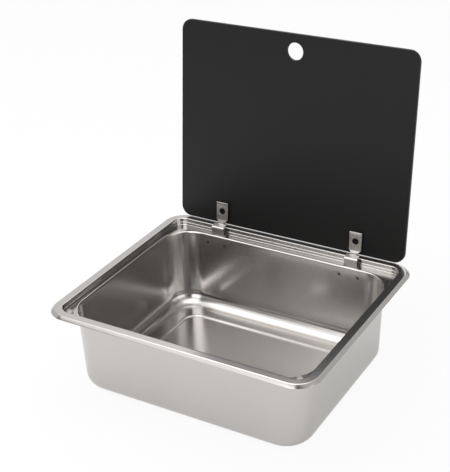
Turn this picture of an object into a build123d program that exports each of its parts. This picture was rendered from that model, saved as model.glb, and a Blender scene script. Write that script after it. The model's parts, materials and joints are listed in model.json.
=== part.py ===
from build123d import *
from math import atan2, cos, degrees, radians, sin, tan
import os

# Drop-in vehicle sink with a hinged glass lid. Millimetres, +Z up, +Y to the hinges.
# The origin is the centre of the drain hole in the underside of the bowl floor.

# Sink pressing, drawn from one sheet
sheet = 1.0
sink_depth = 130.0  # underside of the floor to the top of the rim
rim_length = 400.0
rim_width = 340.0
rim_corner_radius = 33.0
rim_border = 16.2  # outer edge to the edge of the lid recess
rim_lip_drop = 4.0
rim_lip_width = 4.4  # the lip slopes down over this width
rim_bend_radius = 2.0
recess_corner_radius = 15.6
recess_edge_radius = 1.5
recess_depth = 10.0
recess_step_depth = 6.0
recess_step_width = 1.2
ledge_front = 5.1  # also the ledge at both ends
ledge_back = 13.8
bowl_corner_radius = 44.0
bowl_edge_radius = 2.6
step_edge_radius = 0.5
bowl_draft = 2.4  # degrees, every wall
bowl_floor_radius = 20.0
panel_drop = 1.5  # the floor panel lies this much below the shelf around it
panel_inset = 17.0  # inner end of the floor radius to the edge of the panel
panel_corner_radius = 24.0
panel_slope_width = 3.0
drain_radius = 13.5

# Glass lid, drawn standing open on its stop
glass_thickness = 5.0
glass_corner_radius = 16.0
glass_edge_chamfer = 0.5
lid_gap = 0.6  # to the recess edge at the front and both ends
lid_gap_back = 2.5
lid_lean = 5.5  # degrees behind upright
lid_foot_behind_edge = 8.2  # inner face of the open glass behind the recess edge
lid_foot_height = 2.0
finger_hole_radius = 12.5
finger_hole_inset = 25.0  # its centre from the front edge of the glass
glass_bolt_hole_radius = 5.0

# Hinges, both alike
hinge_spacing = 219.0
hinge_sheet = 1.5
strap_width = 20.0
strap_front_behind_bowl = 4.9  # its front face behind the bowl edge
strap_roof_height = 1.7  # middle of the strap over the rim, at its front corner
strap_roof_length = 8.7
strap_roof_rise = 2.4
strap_bend_radius = 2.6
neck_width = 10.0
tab_corner_height = 0.7  # corner of neck and tab above the lower edge of the glass
tab_width = 16.0
tab_height = 30.0
open_stop_gap = 0.3  # strap under the ledge when the lid is open
pin_radius = 2.0
pin_running_gap = 0.05
pin_fixed_gap = 0.02
pin_head_radius = 3.2
pin_head_thickness = 1.2
clip_radius = 4.2
clip_thickness = 0.6
ear_side_gap = 0.6  # strap to ear
ear_radius = 4.6
bracket_width = 40.0
bracket_height = 16.0
bracket_below_ledge = 13.0  # its centre line, also the line of the spot welds
weld_spacing = 29.0
weld_radius = 2.0
weld_depth = 0.25
slot_side_gap = 0.7
slot_front_gap = 1.6  # room for the corner of the strap to swing through
stop_land = 1.0  # ledge left between the slot and the recess wall
notch_width = 16.0
notch_length = 3.2  # into the rim
notch_foot = 1.5  # wall left standing below it

# Glass clamps, one on each hinge strap
pad_thickness = 1.0
pad_foot = 4.0  # lower edge of the glass to the pad
pad_height = 25.0
plate_height = 34.0
plate_crease_height = 6.4
plate_lip_length = 4.0
plate_lip_slope = 60.0  # degrees, out of level
plate_lip_chamfer = 5.0
plate_width = 19.0
plate_top_bend = 3.0
plate_top_angle = 14.0
plate_bend_radius = 1.1
bolt_height = 20.5  # above the lower edge of the glass
bolt_radius = 2.5
bolt_clearance = 0.25
bolt_head_radius = 5.0
bolt_head_angle = 45.0  # degrees, side of the cone to its axis
bolt_length = 9.0
bolt_socket = 3.0
bolt_socket_depth = 1.6
nut_barrel_radius = 3.5
nut_head_radius = 8.0
nut_head_thickness = 1.6
nut_head_bevel = 0.5
nut_thread_gap = 0.05
nut_end_gap = 0.3
sleeve_wall_gap = 0.1
washer_thickness = 0.8
washer_radius = 7.5

# Rubber and foam
seal_width = 4.0
seal_height = 5.0
seal_inset = 5.5  # outer edge of the rim to the seal
seal_hinge_gap = 5.0  # bracket to the end of a seal strip
buffer_radius = 4.5
buffer_inset = 10.0  # its centre from the two walls of its corner
buffer_gap = 0.3  # to the closed glass
buffer_bevel = 0.8

# Levels and outlines that follow
ledge_z = sink_depth - recess_depth
step_z = sink_depth - recess_step_depth
recess_length = rim_length - 2 * rim_border
recess_width = rim_width - 2 * rim_border
lower_length = recess_length - 2 * recess_step_width
lower_width = recess_width - 2 * recess_step_width
bowl_length = lower_length - 2 * ledge_front
bowl_width = lower_width - ledge_front - ledge_back
rim_y = (ledge_back - ledge_front) / 2  # centre of the rim, the bowl being centred on the drain
recess_back = rim_y + recess_width / 2
recess_front = rim_y - recess_width / 2
lower_back = rim_y + lower_width / 2
lower_front = rim_y - lower_width / 2
bowl_back = bowl_width / 2
draft_slope = tan(radians(bowl_draft))
shelf_z = sheet + panel_drop
shelf_inset = (ledge_z - shelf_z) * draft_slope + bowl_floor_radius
panel_length = bowl_length - 2 * (shelf_inset + panel_inset)
panel_width = bowl_width - 2 * (shelf_inset + panel_inset)
panel_slope = atan2(panel_drop, panel_slope_width)
lip_lean = atan2(rim_lip_width, rim_lip_drop)  # out of upright

# Lid plane: X along the hinge line, Y up the open glass, Z out of its inner face
lean = radians(lid_lean)
up_glass = Vector(0, sin(lean), cos(lean))
off_glass = Vector(0, -cos(lean), sin(lean))
lid_foot = Vector(0, recess_back + lid_foot_behind_edge, sink_depth + lid_foot_height)
lid_plane = Plane(origin=lid_foot, x_dir=(1, 0, 0), z_dir=off_glass)
lid_length = recess_length - 2 * lid_gap
lid_reach = recess_width - lid_gap - lid_gap_back

# The one axis that carries the glass from its open place to its closed place
closed_foot = Vector(0, recess_back - lid_gap_back, sink_depth - glass_thickness)
lid_travel = 90.0 + lid_lean
foot_step = closed_foot - lid_foot
foot_middle = (closed_foot + lid_foot) * 0.5
pivot = foot_middle + Vector(0, -foot_step.Z, foot_step.Y) * (0.5 / tan(radians(lid_travel / 2)))


def on_lid(along_x, up, off):
    """Point at a height up the open glass and a distance off its inner face."""
    return Vector(along_x, 0, 0) + lid_foot + up_glass * up + off_glass * off


# Hinge strap centre line, from its eye under the ledge and over the rim to the glass
half_sheet = hinge_sheet / 2
tab_off = pad_thickness + half_sheet
plate_off = tab_off + hinge_sheet
strap_front = bowl_back + strap_front_behind_bowl
strap_y = strap_front + half_sheet
strap_under_z = ledge_z - sheet - open_stop_gap - half_sheet
eye_radius = pin_radius + pin_running_gap + hinge_sheet
eye_bottom = pivot - Vector(0, 0, eye_radius - half_sheet)
strap_heel = Vector(0, lower_back + sheet + open_stop_gap, strap_under_z)
strap_toe = Vector(0, strap_y, strap_under_z)
roof_front = Vector(0, strap_y, sink_depth + strap_roof_height)
roof_back = roof_front + Vector(0, strap_roof_length, strap_roof_rise)
tab_corner = on_lid(0, tab_corner_height, tab_off)
tab_foot_z = tab_corner.Z + 2 * strap_bend_radius
lip_slope = radians(plate_lip_slope)
plate_crease = on_lid(0, plate_crease_height, plate_off)
plate_lip = plate_crease - Vector(0, cos(lip_slope), sin(lip_slope)) * plate_lip_length
plate_bend = on_lid(0, plate_height - plate_top_bend, plate_off)
plate_turn = radians(lid_lean - plate_top_angle)
plate_top = plate_bend + Vector(0, sin(plate_turn), cos(plate_turn)) * plate_top_bend
bolt_off = plate_off + half_sheet
hinge_places = {"left": -hinge_spacing / 2, "right": hinge_spacing / 2}
ear_inside = strap_width / 2 + ear_side_gap
ear_outside = ear_inside + hinge_sheet
bracket_z = ledge_z - bracket_below_ledge
bracket_y = bowl_back + sheet / cos(radians(bowl_draft)) - bracket_below_ledge * draft_slope
wall_normal = Vector(0, cos(radians(bowl_draft)), -sin(radians(bowl_draft)))


def flat(point):
    """The Y and Z of a point, for a profile drawn on a YZ plane."""
    return (point.Y, point.Z)


def bolt_plane(x, off):
    """Plane square to the bolt of one hinge, facing out of the glass's inner face."""
    return Plane(origin=on_lid(x, bolt_height, off), x_dir=(1, 0, 0), z_dir=off_glass)


def bolt_space(x):
    """Space for one clamp screw with its countersink, to cut from tab and plate."""
    with BuildPart() as space:
        with BuildSketch(bolt_plane(x, bolt_off)):
            Circle(bolt_head_radius + bolt_clearance)
        extrude(amount=bolt_radius - bolt_head_radius, taper=bolt_head_angle)
        with BuildSketch(bolt_plane(x, bolt_off)):
            Circle(bolt_radius + bolt_clearance)
        extrude(amount=-bolt_off)
    return space.part


def save(piece, name):
    """Label a finished piece and write its file."""
    piece.label = name
    export_step(piece, f"parts/{name}.step")


os.makedirs("parts", exist_ok=True)

# Sink pressing
def hole_edges(piece, level):
    """Edges of the hole in the flat face nearest to a level."""
    flats = piece.faces().filter_by(Axis.Z)
    nearest = min(flats, key=lambda face: abs(face.center().Z - level))
    return nearest.inner_wires()[0].edges()


def pressing_space(skin):
    """Lid recess, its lower step and the bowl, every surface moved outward by a skin."""
    wall = 2 * skin
    drafted_wall = wall / cos(radians(bowl_draft))
    panel_growth = wall * tan(panel_slope / 2)
    floor_z = shelf_z - skin
    ledge_level = ledge_z - skin
    with BuildPart() as space:
        with BuildSketch(Plane.XY.offset(ledge_z)):
            RectangleRounded(
                bowl_length + drafted_wall, bowl_width + drafted_wall, bowl_corner_radius + skin
            )
        extrude(amount=floor_z - ledge_z, taper=bowl_draft)
        fillet(space.faces().sort_by(Axis.Z)[0].edges(), bowl_floor_radius + skin)
        with BuildSketch(Plane.XY.offset(floor_z)):
            RectangleRounded(
                panel_length + panel_growth, panel_width + panel_growth, panel_corner_radius
            )
        extrude(amount=-panel_drop, taper=90 - degrees(panel_slope))
        with BuildSketch(Plane.XY.offset(ledge_level)):
            with Locations((0, rim_y)):
                RectangleRounded(
                    lower_length + wall, lower_width + wall,
                    recess_corner_radius - recess_step_width + skin,
                )
        extrude(amount=sink_depth - ledge_level)
        fillet(hole_edges(space, ledge_level), bowl_edge_radius - skin)
        with BuildSketch(Plane.XY.offset(step_z - skin)):
            with Locations((0, rim_y)):
                RectangleRounded(
                    recess_length + wall, recess_width + wall, recess_corner_radius + skin
                )
        extrude(amount=sink_depth - step_z + skin)
    return space.part


def rim_blank(skin):
    """Rim with its sloping lip, every surface moved inward by a skin."""
    inset = skin / cos(lip_lean)
    with BuildPart() as blank:
        with BuildSketch(Plane.XY.offset(sink_depth - rim_lip_drop)):
            with Locations((0, rim_y)):
                RectangleRounded(
                    rim_length - 2 * inset, rim_width - 2 * inset, rim_corner_radius - inset
                )
        extrude(amount=rim_lip_drop - skin, taper=degrees(lip_lean))
        fillet(blank.faces().sort_by(Axis.Z)[-1].edges(), rim_bend_radius - skin)
    return blank.part


with BuildPart() as sink_bowl:
    # Rim, open below
    add(rim_blank(0))
    add(rim_blank(sheet), mode=Mode.SUBTRACT)

    # Recess, ledge and bowl
    add(pressing_space(sheet))
    add(pressing_space(0), mode=Mode.SUBTRACT)
    for level, radius in ((sink_depth, recess_edge_radius), (step_z, step_edge_radius)):
        fillet(hole_edges(sink_bowl, level), radius)

    # Drain hole
    with BuildSketch():
        Circle(drain_radius)
    extrude(amount=sheet, mode=Mode.SUBTRACT)

    # A slot in the ledge and a notch in the recess wall and rim for each hinge strap
    slot_front = strap_front - slot_front_gap
    slot_back = lower_back - stop_land
    with BuildSketch(Plane.XY.offset(ledge_z)):
        with Locations([(x, (slot_front + slot_back) / 2) for x in hinge_places.values()]):
            Rectangle(strap_width + 2 * slot_side_gap, slot_back - slot_front)
    extrude(amount=-sheet, mode=Mode.SUBTRACT)
    notch_back = recess_back + notch_length
    with BuildSketch(Plane.XY.offset(sink_depth)):
        with Locations([(x, (lower_back + notch_back) / 2) for x in hinge_places.values()]):
            Rectangle(notch_width, notch_back - lower_back)
    extrude(amount=notch_foot - recess_depth, mode=Mode.SUBTRACT)

    # Spot weld dimples over the hinge brackets
    weld_centre = Vector(0, bowl_back - bracket_below_ledge * draft_slope, bracket_z)
    with BuildSketch(Plane(origin=weld_centre, x_dir=(1, 0, 0), z_dir=wall_normal)):
        for x in hinge_places.values():
            with Locations((x - weld_spacing / 2, 0), (x + weld_spacing / 2, 0)):
                Circle(weld_radius)
    extrude(amount=weld_depth, mode=Mode.SUBTRACT)
save(sink_bowl.part, "sink_bowl")

# Foam seal under the rim, left open where the brackets hang
with BuildPart() as rim_seal:
    with BuildSketch(Plane.XY.offset(sink_depth - sheet)):
        with Locations((0, rim_y)):
            RectangleRounded(
                rim_length - 2 * seal_inset, rim_width - 2 * seal_inset,
                rim_corner_radius - seal_inset,
            )
            RectangleRounded(
                rim_length - 2 * (seal_inset + seal_width),
                rim_width - 2 * (seal_inset + seal_width),
                rim_corner_radius - seal_inset - seal_width, mode=Mode.SUBTRACT,
            )
        with Locations([(x, recess_back) for x in hinge_places.values()]):
            Rectangle(
                bracket_width + 2 * seal_hinge_gap, 2 * rim_border, mode=Mode.SUBTRACT
            )
    extrude(amount=-seal_height)
save(rim_seal.part, "rim_seal")

# Rubber buffers under the front corners of the glass
buffer_x = lower_length / 2 - buffer_inset
buffer_y = lower_front + buffer_inset
with BuildPart() as lid_buffers:
    with BuildSketch(Plane.XY.offset(ledge_z)):
        with Locations((-buffer_x, buffer_y), (buffer_x, buffer_y)):
            Circle(buffer_radius)
    extrude(amount=recess_depth - glass_thickness - buffer_gap)
    chamfer(lid_buffers.edges().group_by(Axis.Z)[-1], buffer_bevel)
save(lid_buffers.part, "lid_buffers")

# Glass lid with its finger hole and a hole for each clamp
with BuildPart() as glass_lid:
    with BuildSketch(lid_plane):
        with Locations((0, lid_reach / 2)):
            RectangleRounded(lid_length, lid_reach, glass_corner_radius)
        with Locations((0, lid_reach - finger_hole_inset)):
            Circle(finger_hole_radius, mode=Mode.SUBTRACT)
    extrude(amount=-glass_thickness)
    faces_of_glass = glass_lid.faces().sort_by(Axis(tuple(lid_foot), tuple(off_glass)))
    chamfer(faces_of_glass[0].edges() + faces_of_glass[-1].edges(), glass_edge_chamfer)
    with BuildSketch(lid_plane):
        with Locations([(x, bolt_height) for x in hinge_places.values()]):
            Circle(glass_bolt_hole_radius)
    extrude(amount=-glass_thickness, mode=Mode.SUBTRACT)
save(glass_lid.part, "glass_lid")

# Hinges and clamps
front_view = Plane.XZ.offset(-recess_back - recess_width / 2)
for side, x in hinge_places.items():
    bracket_plane = Plane(
        origin=(x, bracket_y, bracket_z), x_dir=(1, 0, 0), z_dir=wall_normal
    )
    plate_back = bracket_y + hinge_sheet
    ear_front = recess_back + sheet + open_stop_gap
    ear_top = ledge_z - sheet - open_stop_gap
    with BuildPart() as hinge_bracket:
        with BuildSketch(bracket_plane):
            RectangleRounded(bracket_width, bracket_height, half_sheet)
        extrude(amount=hinge_sheet)
        for ear_plane in (Plane.YZ.offset(x - ear_outside), Plane.YZ.offset(x + ear_inside)):
            with BuildSketch(ear_plane):
                with BuildLine():
                    CenterArc(flat(pivot), ear_radius, 0, 360)
                    Line(
                        (bracket_y + half_sheet, bracket_z - bracket_height / 2),
                        (bracket_y + half_sheet, bracket_z + bracket_height / 2),
                    )
                make_hull()
                with Locations((ear_front, ear_top)):
                    Rectangle(
                        bowl_width, bowl_width, align=(Align.MAX, Align.MIN), mode=Mode.SUBTRACT
                    )
                with Locations(flat(pivot)):
                    Circle(pin_radius + pin_fixed_gap, mode=Mode.SUBTRACT)
            extrude(amount=hinge_sheet)
    save(hinge_bracket.part, f"hinge_bracket_{side}")

    # Pin with its head outside one ear, and the push-on clip outside the other
    with BuildPart() as hinge_pin:
        with BuildSketch(Plane.YZ.offset(x - ear_outside)):
            with Locations(flat(pivot)):
                Circle(pin_head_radius)
        extrude(amount=-pin_head_thickness)
        with BuildSketch(Plane.YZ.offset(x - ear_outside)):
            with Locations(flat(pivot)):
                Circle(pin_radius)
        extrude(amount=2 * ear_outside + clip_thickness + pin_head_thickness)
    save(hinge_pin.part, f"hinge_pin_{side}")
    with BuildPart() as pin_clip:
        with BuildSketch(Plane.YZ.offset(x + ear_outside)):
            with Locations(flat(pivot)):
                Circle(clip_radius)
                Circle(pin_radius, mode=Mode.SUBTRACT)
        extrude(amount=clip_thickness)
    save(pin_clip.part, f"pin_clip_{side}")

    # Strap bent from one sheet: eye, hook round the ledge, roof, neck and glass tab
    tab_top = on_lid(0, tab_height, tab_off)
    with BuildPart() as hinge_strap:
        with BuildSketch(Plane.YZ.offset(x - strap_width / 2)):
            with BuildLine() as strap_line:
                FilletPolyline(
                    flat(eye_bottom), flat(strap_heel), flat(strap_toe), flat(roof_front),
                    flat(roof_back), flat(tab_corner), flat(tab_top),
                    radius=strap_bend_radius,
                )
                offset(amount=half_sheet, side=Side.BOTH)
            make_face()
            with Locations(flat(pivot)):
                Circle(eye_radius)
                Circle(pin_radius + pin_running_gap, mode=Mode.SUBTRACT)
        extrude(amount=strap_width)
        # Both edges cut back, first behind the roof for the neck, then up the tab
        with BuildSketch(Plane.XY.offset(sink_depth)):
            with Locations((x, roof_back.Y)):
                Rectangle(2 * strap_width, recess_width, align=(Align.CENTER, Align.MIN))
                Rectangle(
                    neck_width, recess_width, align=(Align.CENTER, Align.MIN), mode=Mode.SUBTRACT
                )
        extrude(amount=tab_foot_z - sink_depth, mode=Mode.SUBTRACT)
        with BuildSketch(Plane.XY.offset(tab_foot_z)):
            with Locations((x, roof_back.Y)):
                Rectangle(2 * strap_width, recess_width, align=(Align.CENTER, Align.MIN))
                Rectangle(
                    tab_width, recess_width, align=(Align.CENTER, Align.MIN), mode=Mode.SUBTRACT
                )
        extrude(amount=rim_length, mode=Mode.SUBTRACT)
        add(bolt_space(x), mode=Mode.SUBTRACT)
    save(hinge_strap.part, f"hinge_strap_{side}")

    # Clamp plate on the tab: straight leaf, top bent off the glass, lip over the neck
    with BuildPart() as clamp_plate:
        with BuildSketch(Plane.YZ.offset(x - plate_width / 2)):
            with BuildLine() as plate_line:
                FilletPolyline(
                    flat(plate_lip), flat(plate_crease), flat(plate_bend), flat(plate_top),
                    radius=plate_bend_radius,
                )
                offset(amount=half_sheet, side=Side.BOTH)
            make_face()
        extrude(amount=plate_width)
        # Cut-off corners of the lip
        with BuildSketch(front_view):
            for edge in (-1, 1):
                corner = x + edge * plate_width / 2
                Polygon(
                    (corner, plate_lip.Z - hinge_sheet),
                    (corner - edge * (plate_lip_chamfer + hinge_sheet), plate_lip.Z - hinge_sheet),
                    (corner, plate_lip.Z + plate_lip_chamfer * sin(lip_slope)), align=None,
                )
        extrude(amount=recess_width, mode=Mode.SUBTRACT)
        add(bolt_space(x), mode=Mode.SUBTRACT)
    save(clamp_plate.part, f"clamp_plate_{side}")

    # Countersunk screw with a hexagon socket
    with BuildPart() as clamp_screw:
        with BuildSketch(bolt_plane(x, bolt_off)):
            Circle(bolt_head_radius)
        extrude(amount=bolt_radius - bolt_head_radius, taper=bolt_head_angle)
        with BuildSketch(bolt_plane(x, bolt_off)):
            Circle(bolt_radius)
        extrude(amount=-bolt_length)
        with BuildSketch(bolt_plane(x, bolt_off)):
            RegularPolygon(bolt_socket / 2, 6, major_radius=False)
        extrude(amount=-bolt_socket_depth, mode=Mode.SUBTRACT)
    save(clamp_screw.part, f"clamp_screw_{side}")

    # Rubber pad between tab and glass
    with BuildPart() as glass_pad:
        with BuildSketch(lid_plane):
            with Locations((x, pad_foot + pad_height / 2)):
                Rectangle(tab_width, pad_height)
            with Locations((x, bolt_height)):
                Circle(bolt_radius + bolt_clearance, mode=Mode.SUBTRACT)
        extrude(amount=pad_thickness)
    save(glass_pad.part, f"glass_pad_{side}")

    # Nylon sleeve in the glass
    with BuildPart() as glass_sleeve:
        with BuildSketch(bolt_plane(x, 0)):
            Circle(glass_bolt_hole_radius - sleeve_wall_gap)
            Circle(nut_barrel_radius + nut_thread_gap, mode=Mode.SUBTRACT)
        extrude(amount=-glass_thickness)
    save(glass_sleeve.part, f"glass_sleeve_{side}")

    # Rubber washer outside the glass
    with BuildPart() as outer_washer:
        with BuildSketch(bolt_plane(x, -glass_thickness)):
            Circle(washer_radius)
            Circle(nut_barrel_radius + nut_thread_gap, mode=Mode.SUBTRACT)
        extrude(amount=-washer_thickness)
    save(outer_washer.part, f"outer_washer_{side}")

    # Disc nut: round head outside, threaded barrel through the glass
    with BuildPart() as disc_nut:
        with BuildSketch(bolt_plane(x, -glass_thickness - washer_thickness)):
            Circle(nut_head_radius)
        extrude(amount=-nut_head_thickness)
        nut_face = disc_nut.faces().sort_by(Axis(tuple(lid_foot), tuple(off_glass)))[0]
        chamfer(nut_face.edges(), nut_head_bevel)
        with BuildSketch(bolt_plane(x, -nut_end_gap)):
            Circle(nut_barrel_radius)
        extrude(amount=nut_end_gap - glass_thickness - washer_thickness)
        with BuildSketch(bolt_plane(x, -nut_end_gap)):
            Circle(bolt_radius + nut_thread_gap)
        extrude(amount=-bolt_length + bolt_off, mode=Mode.SUBTRACT)
    save(disc_nut.part, f"disc_nut_{side}")
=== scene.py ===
import bpy, bmesh, json
from math import atan2, cos, degrees, pi, radians, sin, tan
from mathutils import Matrix, Vector


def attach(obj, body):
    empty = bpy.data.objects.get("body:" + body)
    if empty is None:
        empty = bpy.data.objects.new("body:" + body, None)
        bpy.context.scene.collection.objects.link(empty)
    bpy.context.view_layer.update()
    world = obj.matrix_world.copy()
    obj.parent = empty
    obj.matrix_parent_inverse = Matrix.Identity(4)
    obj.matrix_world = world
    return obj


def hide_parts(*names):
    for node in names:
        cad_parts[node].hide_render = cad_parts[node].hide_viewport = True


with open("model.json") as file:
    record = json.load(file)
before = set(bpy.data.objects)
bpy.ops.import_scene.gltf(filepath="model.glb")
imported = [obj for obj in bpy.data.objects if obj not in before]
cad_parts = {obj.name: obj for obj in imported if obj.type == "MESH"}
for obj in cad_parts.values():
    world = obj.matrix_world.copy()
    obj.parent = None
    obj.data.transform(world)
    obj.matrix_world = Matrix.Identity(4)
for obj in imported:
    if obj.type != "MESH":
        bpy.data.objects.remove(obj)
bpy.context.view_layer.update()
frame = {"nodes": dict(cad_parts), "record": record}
nodes = frame["nodes"]
scene = bpy.context.scene
scene.view_settings.view_transform = "Standard"
print("frame loaded:", len(nodes), "nodes")

mm = 0.001


def addObject(name, data):
    thing = bpy.data.objects.new(name, data)
    scene.collection.objects.link(thing)
    return thing


# camera, solved from the photograph's outlines
shot = {
    "place": (0.6911, -1.1665, 0.9218),
    "turn": 30.926,  # degrees, from straight in front towards the right
    "lift": 27.58,
    "roll": -2.117,
    "lens": 87.484, "sensor": 36, "nearest": 0.05,
}


def placeCamera(s):
    turn, lift, roll = radians(s["turn"]), radians(s["lift"]), radians(s["roll"])
    back = Vector((sin(turn) * cos(lift), -cos(turn) * cos(lift), sin(lift)))
    right = Vector((cos(turn), sin(turn), 0))
    up = back.cross(right)
    rolledRight = right * cos(roll) + up * sin(roll)
    rolledUp = up * cos(roll) - right * sin(roll)
    lens = bpy.data.cameras.new("photoLens")
    lens.lens = s["lens"]
    lens.sensor_width = s["sensor"]
    lens.clip_start = s["nearest"]
    matrix = Matrix((rolledRight, rolledUp, back)).transposed().to_4x4()
    matrix.translation = Vector(s["place"])
    scene.camera = addObject("photoCamera", lens)
    scene.camera.matrix_world = matrix


placeCamera(shot)


def linear(code):
    # sRGB hex to a linear colour
    values = [int(code[i:i + 2], 16) / 255 for i in (1, 3, 5)]
    return [v / 12.92 if v <= 0.04045 else ((v + 0.055) / 1.055) ** 2.4 for v in values] + [1.0]


def addNode(tree, kind, settings=None, links=None):
    # one node, its settings by property or socket name, and what feeds its sockets
    node = tree.nodes.new(kind)
    for name, value in (settings or {}).items():
        if isinstance(name, str) and name in node.bl_rna.properties.keys():
            setattr(node, name, value)
        else:
            node.inputs[name].default_value = value
    for name, source in (links or {}).items():
        tree.links.new(source, node.inputs[name])
    return node


def newMaterial(name):
    material = bpy.data.materials.new(name)
    material.use_nodes = True
    return material, material.node_tree, material.node_tree.nodes["Principled BSDF"]


def twoTone(tree, shader, factor, dark, light):
    # colour between two tones of one finish; sockets 6 and 7 take the two colours
    tint = addNode(tree, "ShaderNodeMix", {"data_type": "RGBA"}, {0: factor})
    tint.inputs[6].default_value = linear(dark)
    tint.inputs[7].default_value = linear(light)
    tree.links.new(tint.outputs[2], shader.inputs["Base Color"])


def spread(tree, factor, middle, reach):
    return addNode(tree, "ShaderNodeMapRange", {"To Min": middle - reach, "To Max": middle + reach},
                   {"Value": factor}).outputs["Result"]


def addRelief(tree, shader, height, distance, strength):
    bump = addNode(tree, "ShaderNodeBump", {"Strength": strength, "Distance": distance}, {"Height": height})
    tree.links.new(bump.outputs["Normal"], shader.inputs["Normal"])


# real polishing lines lie about 0.1 mm apart; they are drawn coarser, so that they show
steelLook = {
    "dark": "#c8c5c2", "light": "#cecbc8", "roughness": 0.2, "spread": 0.03, "cloud": 60 * mm,
    "lineLength": 40 * mm, "linePitch": 0.8 * mm, "lineDetail": 3, "lineContrast": 0.6,
    "lineHeight": 0.001 * mm, "bump": 0.5,
}


def satinSteel(name, look, uv=None):
    # satin stainless sheet: fine polishing lines along the surface break up each highlight
    material, tree, shader = newMaterial(name)
    shader.inputs["Metallic"].default_value = 1
    place = addNode(tree, "ShaderNodeTexCoord").outputs["Object"]
    along = addNode(tree, "ShaderNodeUVMap", {"uv_map": uv}).outputs["UV"] if uv else place
    across = 1 / look["linePitch"]
    stretch = addNode(tree, "ShaderNodeMapping", {"Scale": (1 / look["lineLength"], across, across)},
                      {"Vector": along})
    lines = addNode(tree, "ShaderNodeTexNoise",
                    {"Scale": 1, "Detail": look["lineDetail"], "Roughness": look["lineContrast"]},
                    {"Vector": stretch.outputs["Vector"]}).outputs["Fac"]
    cloud = addNode(tree, "ShaderNodeTexNoise", {"Scale": 1 / look["cloud"], "Detail": 1},
                    {"Vector": place}).outputs["Fac"]
    twoTone(tree, shader, cloud, look["dark"], look["light"])
    tree.links.new(spread(tree, lines, look["roughness"], look["spread"]), shader.inputs["Roughness"])
    addRelief(tree, shader, lines, look["lineHeight"], look["bump"])
    return material


mouldedLook = {"ior": 1.5, "metallic": 0, "transmission": 0, "spread": 0.04, "detail": 3, "bump": 0.4}


def mouldedSurface(name, look):
    # moulded or dipped surface: even colour with a slight mottle and a fine texture
    material, tree, shader = newMaterial(name)
    shader.inputs["IOR"].default_value = look["ior"]
    shader.inputs["Metallic"].default_value = look["metallic"]
    shader.inputs["Transmission Weight"].default_value = look["transmission"]
    place = addNode(tree, "ShaderNodeTexCoord").outputs["Object"]
    grain = addNode(tree, "ShaderNodeTexNoise", {"Scale": 1 / look["grain"], "Detail": look["detail"]},
                    {"Vector": place}).outputs["Fac"]
    twoTone(tree, shader, grain, look["dark"], look["light"])
    tree.links.new(spread(tree, grain, look["roughness"], look["spread"]), shader.inputs["Roughness"])
    addRelief(tree, shader, grain, look["height"], look["bump"])
    return material


# soft silver with blurred reflections
pressedSteel = satinSteel("stainlessSteelSatin", steelLook, "grain")
# tumbled after stamping: paler and duller, with no direction
stampedSteel = satinSteel("stainlessSteelTumbled", dict(
    steelLook, dark="#d0ccc8", light="#dad6d2", roughness=0.3, lineLength=0.8 * mm, linePitch=0.5 * mm))
# as rolled at the mill: dull and grey
millSteel = satinSteel("stainlessSteelMillFinish", dict(
    steelLook, dark="#a8a49f", light="#b8b4af", roughness=0.33))
# a spot weld's dish, coloured darker than the rest of the sheet: a dark fleck in the wall
weldedSteel = satinSteel("stainlessSteelSpotWelded", dict(
    steelLook, dark="#4c4845", light="#5a5652", roughness=0.4))
# deep matt black
blackRubber = mouldedSurface("epdmRubberMoulded", dict(
    mouldedLook, dark="#141414", light="#1c1c1c", roughness=0.7, grain=0.8 * mm, height=0.03 * mm))
# open-pored and dull
blackFoam = mouldedSurface("neopreneFoamCut", dict(
    mouldedLook, dark="#181818", light="#262626", roughness=0.9, grain=1.0 * mm, height=0.2 * mm))
# creamy and waxy
whiteNylon = mouldedSurface("nylonMoulded", dict(
    mouldedLook, dark="#d6d3ca", light="#dedbd2", roughness=0.45, grain=2 * mm, height=0.01 * mm))
# dark with an oily sheen
blackenedSteel = mouldedSurface("steelBlackOxide", dict(
    mouldedLook, dark="#171717", light="#222222", roughness=0.4, metallic=0.6, grain=0.5 * mm,
    height=0.005 * mm))
# etched face of dark glass: black with a soft grey sheen
smokedGlass = mouldedSurface("temperedGlassSatinBlack", dict(
    mouldedLook, dark="#0c0c0c", light="#0e0e0e", roughness=0.42, ior=1.42, grain=1.2 * mm,
    height=0.002 * mm))
# milky and clear, almost unseen on the steel
clearSilicone = mouldedSurface("siliconeClearMoulded", dict(
    mouldedLook, dark="#d8d8d6", light="#e0e0de", roughness=0.5, ior=1.41, transmission=1,
    grain=1.5 * mm, height=0.004 * mm))
print("materials made")

bodyOf = {name: body for body, names in frame["record"]["behaviour"]["bodies"].items() for name in names}


def claim(piece, *names):
    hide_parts(*names)
    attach(piece, bodyOf[names[0]])


def smoothByAngle(mesh, angle):
    bm = bmesh.new()
    bm.from_mesh(mesh)
    for face in bm.faces:
        face.smooth = True
    for edge in bm.edges:
        edge.smooth = len(edge.link_faces) == 2 and edge.calc_face_angle(0) < radians(angle)
    bm.to_mesh(mesh)
    bm.free()


def newTree(name, inputs):
    # an empty geometry tree with named inputs, and the socket identifier of each
    tree = bpy.data.node_groups.new(name, "GeometryNodeTree")
    tree.interface.new_socket("Geometry", in_out="INPUT", socket_type="NodeSocketGeometry")
    names = {label: tree.interface.new_socket(label, in_out="INPUT", socket_type=kind).identifier
             for label, kind in inputs.items()}
    tree.interface.new_socket("Geometry", in_out="OUTPUT", socket_type="NodeSocketGeometry")
    return tree, names, addNode(tree, "NodeGroupInput").outputs


def endTree(tree, geometry, material):
    whole = addNode(tree, "GeometryNodeRealizeInstances", None, {0: geometry})
    coated = addNode(tree, "GeometryNodeSetMaterial", None,
                     {"Geometry": whole.outputs[0], "Material": material})
    addNode(tree, "NodeGroupOutput", None, {0: coated.outputs[0]})


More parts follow.
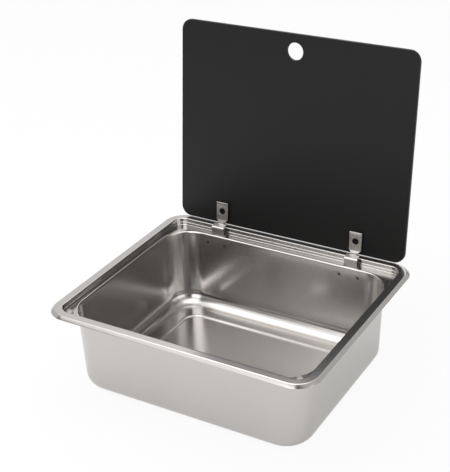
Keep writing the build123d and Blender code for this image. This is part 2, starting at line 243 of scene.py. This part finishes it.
def rowTree():
    # copies of one piece in a row along X, with the row's middle at the piece's own origin
    tree, names, given = newTree("repeatInRow", {"Count": "NodeSocketInt", "Spacing": "NodeSocketFloat",
                                                 "Material": "NodeSocketMaterial"})
    gaps = addNode(tree, "ShaderNodeMath", {"operation": "SUBTRACT", 1: 1.0}, {0: given["Count"]})
    length = addNode(tree, "ShaderNodeMath", {"operation": "MULTIPLY"},
                     {0: gaps.outputs[0], 1: given["Spacing"]})
    half = addNode(tree, "ShaderNodeMath", {"operation": "MULTIPLY", 1: -0.5}, {0: length.outputs[0]})
    start = addNode(tree, "ShaderNodeCombineXYZ", None, {"X": half.outputs[0]})
    step = addNode(tree, "ShaderNodeCombineXYZ", None, {"X": given["Spacing"]})
    row = addNode(tree, "GeometryNodeMeshLine", None,
                  {"Count": given["Count"], "Start Location": start.outputs[0], "Offset": step.outputs[0]})
    copies = addNode(tree, "GeometryNodeInstanceOnPoints", None,
                     {"Points": row.outputs[0], "Instance": given["Geometry"]})
    endTree(tree, copies.outputs[0], given["Material"])
    return tree, names


def stripTree():
    # a strip of one rectangular section with eased corners, swept along each spline of a path
    sizes = {"Width": "NodeSocketFloat", "Height": "NodeSocketFloat", "Corner": "NodeSocketFloat"}
    tree, names, given = newTree("sweepStrip", dict(sizes, Material="NodeSocketMaterial"))
    section = addNode(tree, "GeometryNodeCurvePrimitiveQuadrilateral", None,
                      {"Width": given["Width"], "Height": given["Height"]})
    eased = addNode(tree, "GeometryNodeFilletCurve", {"Limit Radius": True},
                    {"Curve": section.outputs[0], "Radius": given["Corner"]})
    swept = addNode(tree, "GeometryNodeCurveToMesh", {"Fill Caps": True},
                    {"Curve": given["Geometry"], "Profile Curve": eased.outputs[0]})
    endTree(tree, swept.outputs[0], given["Material"])
    return tree, names


inRow = rowTree()
alongPath = stripTree()


def addTree(piece, treeAndNames, values):
    tree, names = treeAndNames
    modifier = piece.modifiers.new(tree.name, "NODES")
    modifier.node_group = tree
    for label, value in values.items():
        modifier[names[label]] = value


def settle(piece):
    # the evaluated shape as a plain mesh, with no modifier left
    bpy.context.view_layer.update()
    mesh = bpy.data.meshes.new_from_object(piece.evaluated_get(bpy.context.evaluated_depsgraph_get()))
    name = piece.name
    bpy.data.objects.remove(piece)
    return addObject(name, mesh)


finish = {"merge": 0.002 * mm, "flatAngle": 0.5, "smoothAngle": 32, "edgeAngle": 35, "edgeSegments": 2}


def cleanCopy(node, shift):
    # a welded copy of a CAD piece, moved along X to the middle of its row
    mesh = nodes[node].data.copy()
    bm = bmesh.new()
    bm.from_mesh(mesh)
    bmesh.ops.remove_doubles(bm, verts=bm.verts, dist=finish["merge"])
    bmesh.ops.dissolve_limit(bm, angle_limit=radians(finish["flatAngle"]), verts=bm.verts, edges=bm.edges)
    bmesh.ops.translate(bm, verts=bm.verts, vec=(shift, 0, 0))
    bm.to_mesh(mesh)
    bm.free()
    mesh.materials.clear()
    smoothByAngle(mesh, finish["smoothAngle"])
    return mesh


def breakEdges(piece, width):
    edges = piece.modifiers.new("brokenEdges", "BEVEL")
    edges.width = width
    edges.segments = finish["edgeSegments"]
    edges.limit_method = "ANGLE"
    edges.angle_limit = radians(finish["edgeAngle"])
    edges.harden_normals = True
    edges.miter_outer = "MITER_ARC"


hinges = {"count": 2, "spacing": 219 * mm}
pairs = {  # material and width of the broken edges in millimetres
    "hinge_bracket": (millSteel, 0.15), "hinge_pin": (millSteel, 0.2), "pin_clip": (millSteel, 0.1),
    "hinge_strap": (stampedSteel, 0.2), "clamp_plate": (stampedSteel, 0.25),
    "clamp_screw": (blackenedSteel, 0.1), "glass_pad": (blackRubber, 0.15), "glass_sleeve": (whiteNylon, 0.1),
    "outer_washer": (blackRubber, 0.1), "disc_nut": (stampedSteel, 0.1),
}
for kind, (material, width) in pairs.items():
    piece = addObject(kind + "_pair", cleanCopy(kind + "_left", hinges["spacing"] / 2))
    breakEdges(piece, width * mm)
    addTree(piece, inRow, {"Count": hinges["count"], "Spacing": hinges["spacing"], "Material": material})
    claim(settle(piece), kind + "_left", kind + "_right")
print("hinge and clamp pieces finished")

singles = {"glass_lid": (smokedGlass, 0.15), "lid_buffers": (clearSilicone, 0.2)}
for node, (material, width) in singles.items():
    piece = addObject(node + "_finished", cleanCopy(node, 0))
    piece.data.materials.append(material)
    breakEdges(piece, width * mm)
    claim(piece, node)
print("lid and buffers finished")

# foam strip under the rim, in two lengths that stop at the hinges
seal = {  # millimetres
    "halfLength": 192.5, "halfWidth": 162.5, "corner": 25.5, "shift": 4.35, "middle": 126.5,
    "gapFrom": 84.5, "gapTo": 134.5, "width": 4, "height": 5, "eased": 0.6,
    "cornerSteps": 12, "smoothAngle": 40,
}


def cornerArc(s, sx, sy):
    start = {(1, 1): 90, (1, -1): 0, (-1, -1): -90, (-1, 1): -180}[(sx, sy)]
    turns = [radians(start - 90 * i / s["cornerSteps"]) for i in range(s["cornerSteps"] + 1)]
    return [(sx * (s["halfLength"] - s["corner"]) + s["corner"] * cos(a),
             sy * (s["halfWidth"] - s["corner"]) + s["corner"] * sin(a)) for a in turns]


def sealPath(s):
    back = s["halfWidth"]
    long = [(s["gapTo"], back)]
    for sx, sy in ((1, 1), (1, -1), (-1, -1), (-1, 1)):
        long += cornerArc(s, sx, sy)
    long += [(-s["gapTo"], back)]
    return [long, [(-s["gapFrom"], back), (s["gapFrom"], back)]]


def buildSeal(s):
    path = bpy.data.curves.new("sealPath", "CURVE")
    path.dimensions = "3D"
    for run in sealPath(s):
        spline = path.splines.new("POLY")
        spline.points.add(len(run) - 1)
        for point, (x, y) in zip(spline.points, run):
            point.co = (x * mm, (y + s["shift"]) * mm, s["middle"] * mm, 1)
    piece = addObject("rim_seal_finished", path)
    addTree(piece, alongPath, {"Width": s["width"] * mm, "Height": s["height"] * mm,
                               "Corner": s["eased"] * mm, "Material": blackFoam})
    piece = settle(piece)
    smoothByAngle(piece.data, s["smoothAngle"])
    claim(piece, "rim_seal")


buildSeal(seal)
print("seal laid")

# sink pressing, drawn as rings that follow one section from the rim's lip to the drain and back underneath
sinkSizes = {  # millimetres and degrees
    # outlines: length, width, corner
    "rim": (400, 340, 33), "recess": (367.6, 307.6, 15.6), "bowl": (355, 286.3, 44),
    "panel": (271.15, 202.45, 24), "rimShift": 4.35, "leastCorner": 2.0,
    # lip, recess with its lower step, bowl wall and floor
    "top": 130, "lipDrop": 4.0, "lipWidth": 4.4, "lipBend": 2.0, "recessEdge": 1.5,
    "step": 124, "stepWidth": 1.2, "stepEdge": 0.5, "foot": 0.8, "ledge": 120, "bowlEdge": 2.6,
    "draft": 2.4, "floorRadius": 20, "shelf": 2.5, "floor": 1.0, "panelSlope": 4.0, "panelBlend": 9.0,
    "drain": 13.5, "drainEdge": 0.3, "sheet": 1.0,
    # the cut edge of the lip: inset and rise
    "lipCut": ((0.35, 0), (0.1, 0.08), (0.15, 0.14)),
    # the hidden face of the recess wall
    "hiddenInset": 0.2, "hiddenStepDrop": 1.4, "hiddenFootRise": 0.4,
    # rows that keep the flats flat, as insets or as distances from the nearest bend
    "bendRow": 0.5, "flangeRows": (9, 14), "footRow": 1, "ledgeRow": 0.3, "shelfRows": (1.5, 8),
    "blendRow": 1.5, "panelRow": 20, "panelMiddle": 60, "drainRows": (14, 1),
    # steps in each bend
    "lipSteps": 6, "edgeSteps": 6, "stepSteps": 4, "footSteps": 5, "bowlSteps": 10, "wallSteps": 8,
    "floorSteps": 18, "blendSteps": 5, "drainSteps": 2, "cornerSteps": 28, "sideSteps": 10,
    "smoothAngle": 40,
}


def arc(centre, radius, start, end, steps, family):
    turns = [radians(start + (end - start) * i / steps) for i in range(steps + 1)]
    return [(family, centre[0] + radius * cos(a), centre[1] + radius * sin(a)) for a in turns]


def rimSection(s, skin):
    # lip, flange, recess wall with its step, and the ledge's start
    top, ledge = s["top"], s["ledge"]
    slope = atan2(s["lipDrop"], s["lipWidth"])
    bend = s["lipWidth"] + s["lipBend"] * tan(slope / 2)
    rows = [("rim", skin / sin(slope), top - s["lipDrop"])]
    rows += arc((bend, top - s["lipBend"]), s["lipBend"] - skin, 90 + degrees(slope), 90,
                s["lipSteps"], "rim")
    rows += [("rim", inset, top - skin) for inset in (bend + s["bendRow"], *s["flangeRows"])]
    edge = s["recessEdge"]
    rows += arc((-edge, top - edge), edge - skin, 90, 0, s["edgeSteps"], "recess")
    step, width = s["step"], s["stepWidth"]
    if skin:
        rows += [("recess", -skin, step), ("recess", s["hiddenInset"], step - s["hiddenStepDrop"]),
                 ("recess", s["hiddenInset"], ledge + s["hiddenFootRise"])]
    else:
        edge = s["stepEdge"]
        rows += arc((edge, step + edge), edge, 180, 270, s["stepSteps"], "recess")
        rows += arc((width - edge, step - edge), edge, 90, 0, s["stepSteps"], "recess")
        rows += [("recess", width, ledge + s["foot"] + s["footRow"])]
    rows += arc((width + s["foot"], ledge + s["foot"]), s["foot"] + skin, 180, 270, s["footSteps"], "recess")
    return rows + [("recess", width + s["foot"] + s["ledgeRow"], ledge - skin)]


def bowlSection(s, skin):
    # bowl edge, drafted wall, floor radius and shelf
    draft, turn = tan(radians(s["draft"])), cos(radians(s["draft"]))
    edge, low, ledge = s["bowlEdge"], s["shelf"] + s["floorRadius"], s["ledge"]
    rows = [("bowl", -edge - s["ledgeRow"], ledge - skin)]
    rows += arc((edge * draft - edge / turn, ledge - edge), edge - skin, 90, s["draft"],
                s["bowlSteps"], "bowl")
    centre = ((ledge - low) * draft + s["floorRadius"] / turn, low)
    foot = arc(centre, s["floorRadius"] + skin, 180 + s["draft"], 270, s["floorSteps"], "bowl")
    topInset, topHeight = rows[-1][1:]
    footInset, footHeight = foot[0][1:]
    for i in range(1, s["wallSteps"]):
        share = i / s["wallSteps"]
        rows.append(("bowl", topInset + (footInset - topInset) * share,
                     topHeight + (footHeight - topHeight) * share))
    return rows + foot + [("bowl", foot[-1][1] + inset, s["shelf"] - skin) for inset in s["shelfRows"]]


def floorSection(s, skin):
    # the floor panel, two blends on one slope, and the flat round the drain
    shelf, floor, blend = s["shelf"] - skin, s["floor"] - skin, s["panelBlend"]
    angle = atan2(s["shelf"] - s["floor"], s["panelSlope"])
    reach = blend * tan(angle / 2)
    end = s["panelSlope"] + reach
    turns = [angle * i / s["blendSteps"] for i in range(s["blendSteps"] + 1)]
    rows = [("panel", -reach - s["blendRow"], shelf)]
    rows += [("panel", -reach + blend * sin(a), shelf - blend * (1 - cos(a))) for a in turns]
    rows += [("panel", end - blend * sin(a), floor + blend * (1 - cos(a))) for a in turns[::-1]]
    flats = (end + s["blendRow"], s["panelSlope"] + s["panelRow"], s["panelMiddle"])
    rows += [("panel", inset, floor) for inset in flats]
    return rows + [("drain", -beyond, floor) for beyond in s["drainRows"]]


def sinkSection(s, skin):
    # (outline, inset from it, height) from the lip inward; skin 0 is the face that shows, and the sheet's
    # thickness the hidden one
    return rimSection(s, skin) + bowlSection(s, skin) + floorSection(s, skin)


def sinkRing(s, row):
    family, inset, height = row
    if family == "drain":
        outline = sinkRing(s, ("panel", s["panelMiddle"], height))
        middle = Vector((0, 0, height * mm))
        return [Vector((p.x, p.y, 0)).normalized() * (s["drain"] - inset) * mm + middle for p in outline]
    length, width, corner = s[family]
    radius = max(corner - inset, s["leastCorner"])
    flatX, flatY = length / 2 - inset - radius, width / 2 - inset - radius
    shift = s["rimShift"] if family in ("rim", "recess") else 0
    arcs = []
    for k, (sx, sy) in enumerate([(1, 1), (-1, 1), (-1, -1), (1, -1)]):
        turns = [radians(90 * k + 90 * i / s["cornerSteps"]) for i in range(s["cornerSteps"] + 1)]
        arcs.append([Vector((sx * flatX + radius * cos(a), sy * flatY + radius * sin(a), 0)) for a in turns])
    points = []
    for drawn, following in zip(arcs, arcs[1:] + arcs[:1]):
        points += drawn
        points += [drawn[-1].lerp(following[0], i / s["sideSteps"]) for i in range(1, s["sideSteps"])]
    return [Vector((p.x, p.y + shift, height)) * mm for p in points]


def buildSink(s):
    face, back = sinkSection(s, 0), sinkSection(s, s["sheet"])
    foot, edge = s["top"] - s["lipDrop"], s["drainEdge"]
    face[0:1] = [("rim", inset, foot + rise) for inset, rise in s["lipCut"]]
    face += arc((-edge, s["floor"] - edge), edge, 90, 0, s["drainSteps"], "drain")
    back += [("drain", 0, s["floor"] - s["sheet"])]
    bm = bmesh.new()
    grain = bm.loops.layers.uv.new("grain")  # metres round the ring and along the section
    rings = [[bm.verts.new(p) for p in sinkRing(s, row)] for row in face + back[::-1]]
    count = len(rings[0])
    along = 0
    for ring, following in zip(rings, rings[1:] + rings[:1]):
        step = (following[0].co - ring[0].co).length
        around = 0
        for i in range(count):
            j = (i + 1) % count
            side = (ring[j].co - ring[i].co).length
            drawn = bm.faces.new((ring[i], ring[j], following[j], following[i]))
            corners = ((around, along), (around + side, along), (around + side, along + step),
                       (around, along + step))
            for loop, corner in zip(drawn.loops, corners):
                loop[grain].uv = corner
            around += side
        along += step
    bmesh.ops.recalc_face_normals(bm, faces=bm.faces)
    mesh = bpy.data.meshes.new("sinkPressing")
    bm.to_mesh(mesh)
    bm.free()
    smoothByAngle(mesh, s["smoothAngle"])
    mesh.materials.append(pressedSteel)
    return addObject("sink_bowl_finished", mesh)


hingeOpenings = {  # millimetres, round each hinge: width, from front to back, from low to high
    "slot": (21.4, (146.45, 155.95), (117.5, 120.6)), "notch": (16, (156, 161.35), (121.5, 132)),
}


def openingCutter(openings):
    # the strap's slot in the ledge and its notch in the recess wall
    bm = bmesh.new()
    for wide, along, up in openings.values():
        low, high = Vector((-wide / 2, along[0], up[0])), Vector((wide / 2, along[1], up[1]))
        middle = (low + high) / 2
        for vert in bmesh.ops.create_cube(bm, size=1)["verts"]:
            vert.co = (vert.co * (high - low) + middle) * mm
    return bm


weldDishes = {  # millimetres and degrees
    "count": 2, "spacing": 29, "height": 107, "wall": 142.605, "lean": sinkSizes["draft"],
    "radius": 2.0, "depth": 0.25, "sides": 24,
    "profile": ((0.0, 1.0), (0.35, 0.95), (0.48, 0.8), (0.56, 0.15), (0.7, 0.05), (1.0, 0.0), (1.0, -1.0)),
}


def weldCutter(s):
    # the shallow dish that a spot weld leaves, as a lens lying on the wall; the profile gives shares of the
    # radius and of the depth
    bm = bmesh.new()
    rings = []
    for reach, depth in s["profile"]:
        turns = [2 * pi * i / s["sides"] for i in range(s["sides"])] if reach else [0.0]
        radius = s["radius"] * reach
        rings.append([bm.verts.new((radius * cos(a), s["depth"] * depth, radius * sin(a))) for a in turns])
    for ring, following in zip(rings, rings[1:]):
        for i in range(len(following)):
            j = (i + 1) % len(following)
            side = (ring[0],) if len(ring) == 1 else (ring[j], ring[i])
            bm.faces.new((following[i], following[j]) + side)
    bm.faces.new(rings[-1][::-1])
    bmesh.ops.recalc_face_normals(bm, faces=bm.faces)
    bmesh.ops.rotate(bm, verts=bm.verts, matrix=Matrix.Rotation(-radians(s["lean"]), 3, "X"))
    bmesh.ops.translate(bm, verts=bm.verts, vec=(0, s["wall"], s["height"]))
    bmesh.ops.scale(bm, verts=bm.verts, vec=(mm, mm, mm))
    return bm


def cutSink(sink, name, bm, rows, material):
    # takes the repeated cutter out of the sheet
    mesh = bpy.data.meshes.new(name)
    bm.to_mesh(mesh)
    bm.free()
    cutter = addObject(name, mesh)
    for count, spacing in rows:
        addTree(cutter, inRow, {"Count": count, "Spacing": spacing, "Material": material})
    cutter = settle(cutter)
    cut = sink.modifiers.new(name, "BOOLEAN")
    cut.object = cutter
    cut.solver = "EXACT"
    cut.material_mode = "TRANSFER"
    sink = settle(sink)
    bpy.data.objects.remove(cutter)
    return sink


hingeRow = (hinges["count"], hinges["spacing"])
dishRow = (weldDishes["count"], weldDishes["spacing"] * mm)
sink = buildSink(sinkSizes)
sink = cutSink(sink, "hingeOpenings", openingCutter(hingeOpenings), [hingeRow], pressedSteel)
sink = cutSink(sink, "weldDishes", weldCutter(weldDishes), [dishRow, hingeRow], weldedSteel)
smoothByAngle(sink.data, sinkSizes["smoothAngle"])
claim(sink, "sink_bowl")
print("sink pressing built:", len(sink.data.polygons), "faces")

# white studio: paper floor, two softboxes, and a tent of boards round the table for the steel to mirror
studio = {
    "reach": 6, "drop": 0.2 * mm, "paper": "#eeeeee", "shadowShare": 0.08, "mirroredShadowShare": 0.6,
    "fill": 0.72, "aim": (0, 0, 0.1),
    "softboxes": {  # where each hangs, its size, its power and whether the steel shows it
        "overheadSoftbox": ((-0.3, 0.1, 1.6), (1.5, 1.2), 9, True),
        "sideSoftbox": ((-1.9, -0.9, 1.5), (0.7, 0.7), 18, False),
    },
    "tentRadius": 2.6, "tentSteps": 8,
    "tent": {  # degrees from the right towards the back, degrees up, brightness
        "rightSoftbox": (328, 368, 0, 42, 1.45),
        "rearRightBoard": (8, 75, 0, 42, 0.58),
        "rearBoard": (75, 100, 0, 34, 0.25),
        "rearStrip": (100, 118, 0, 38, 1.2),
        "rearLeftBoard": (118, 150, 0, 38, 0.8),
        "rearSoftbox": (75, 140, 38, 58, 1.35),
        "leftBoard": (150, 205, 0, 45, 0.68),
        "frontLeftBoard": (205, 246, 0, 40, 0.2),
        "upperFrontLeftBoard": (200, 246, 40, 62, 1.3),
        "frontSoftbox": (246, 290, 26, 52, 2.2),
        "frontBoard": (246, 290, 0, 26, 0.8),
        "cameraBoard": (290, 309, 0, 62, 0.02),
        "cameraSideBoard": (309, 328, 0, 62, 0.3),
        "upperRightBoard": (328, 435, 42, 60, 0.55),
    },
}


def emptyTree(owner):
    owner.use_nodes = True
    owner.node_tree.nodes.clear()
    return owner.node_tree


def seenRay(tree):
    # 1 for what the camera sees straight, in the steel or through the glass
    path = addNode(tree, "ShaderNodeLightPath").outputs
    seen = addNode(tree, "ShaderNodeMath", {"operation": "MAXIMUM"},
                   {0: path["Is Camera Ray"], 1: path["Is Glossy Ray"]})
    seen = addNode(tree, "ShaderNodeMath", {"operation": "MAXIMUM"},
                   {0: seen.outputs[0], 1: path["Is Transmission Ray"]})
    return seen.outputs[0]


def buildFloor(s):
    # paper that stays white to the camera and in the steel, and keeps part of the shadow
    material = bpy.data.materials.new("paperBackdrop")
    tree = emptyTree(material)
    mirrored = addNode(tree, "ShaderNodeLightPath").outputs["Is Glossy Ray"]
    share = addNode(tree, "ShaderNodeMix",
                    {"data_type": "FLOAT", 2: s["shadowShare"], 3: s["mirroredShadowShare"]}, {0: mirrored})
    lit = addNode(tree, "ShaderNodeMix", {"data_type": "FLOAT", 2: 1.0},
                  {0: seenRay(tree), 3: share.outputs[0]})
    matt = addNode(tree, "ShaderNodeBsdfDiffuse", {"Color": linear(s["paper"])})
    glow = addNode(tree, "ShaderNodeEmission", {"Color": (1, 1, 1, 1), "Strength": 1})
    mixed = addNode(tree, "ShaderNodeMixShader", None,
                    {0: lit.outputs[0], 1: glow.outputs[0], 2: matt.outputs[0]})
    addNode(tree, "ShaderNodeOutputMaterial", None, {"Surface": mixed.outputs[0]})
    reach, low = s["reach"], -s["drop"]
    mesh = bpy.data.meshes.new("studioFloor")
    mesh.from_pydata([(-reach, -reach, low), (reach, -reach, low), (reach, reach, low), (-reach, reach, low)],
                     [], [(0, 1, 2, 3)])
    mesh.materials.append(material)
    card = addObject("studioFloor", mesh)


def buildWorld(s):
    # white to the camera, in the steel and through the glass, and a softer fill as light
    world = bpy.data.worlds.new("studioWorld")
    scene.world = world
    tree = emptyTree(world)
    light = addNode(tree, "ShaderNodeBackground", {"Color": (1, 1, 1, 1), "Strength": s["fill"]})
    view = addNode(tree, "ShaderNodeBackground", {"Color": (1, 1, 1, 1), "Strength": 1})
    mix = addNode(tree, "ShaderNodeMixShader", None,
                  {0: seenRay(tree), 1: light.outputs[0], 2: view.outputs[0]})
    addNode(tree, "ShaderNodeOutputWorld", None, {"Surface": mix.outputs[0]})


def addSoftboxes(s):
    for name, (place, size, power, mirrored) in s["softboxes"].items():
        data = bpy.data.lights.new(name, "AREA")
        data.shape = "RECTANGLE"
        data.size, data.size_y = size
        data.energy = power
        lamp = addObject(name, data)
        lamp.location = place
        lamp.rotation_mode = "QUATERNION"
        lamp.rotation_quaternion = (Vector(s["aim"]) - Vector(place)).to_track_quat("-Z", "Y")
        lamp.visible_glossy = mirrored


def buildBoard(s, name, start, end, low, high):
    # part of a sphere round the table
    steps, points = s["tentSteps"], []
    for j in range(steps + 1):
        rise = radians(low + (high - low) * j / steps)
        for i in range(steps + 1):
            turn = radians(start + (end - start) * i / steps)
            points.append(Vector((cos(rise) * cos(turn), cos(rise) * sin(turn), sin(rise))) * s["tentRadius"])
    firsts = [j * (steps + 1) + i for j in range(steps) for i in range(steps)]
    mesh = bpy.data.meshes.new(name)
    mesh.from_pydata(points, [], [(k, k + 1, k + steps + 2, k + steps + 1) for k in firsts])
    return mesh


def buildTent(s):
    # boards that only the steel shows: they light nothing, and the camera looks through them
    for name, (start, end, low, high, brightness) in s["tent"].items():
        material = bpy.data.materials.new(name)
        tree = emptyTree(material)
        glow = addNode(tree, "ShaderNodeEmission", {"Color": (1, 1, 1, 1), "Strength": brightness})
        addNode(tree, "ShaderNodeOutputMaterial", None, {"Surface": glow.outputs[0]})
        mesh = buildBoard(s, name, start, end, low, high)
        mesh.materials.append(material)
        board = addObject(name, mesh)
        board.visible_camera = board.visible_diffuse = board.visible_shadow = False


buildFloor(studio)
buildWorld(studio)
addSoftboxes(studio)
buildTent(studio)
print("studio built")
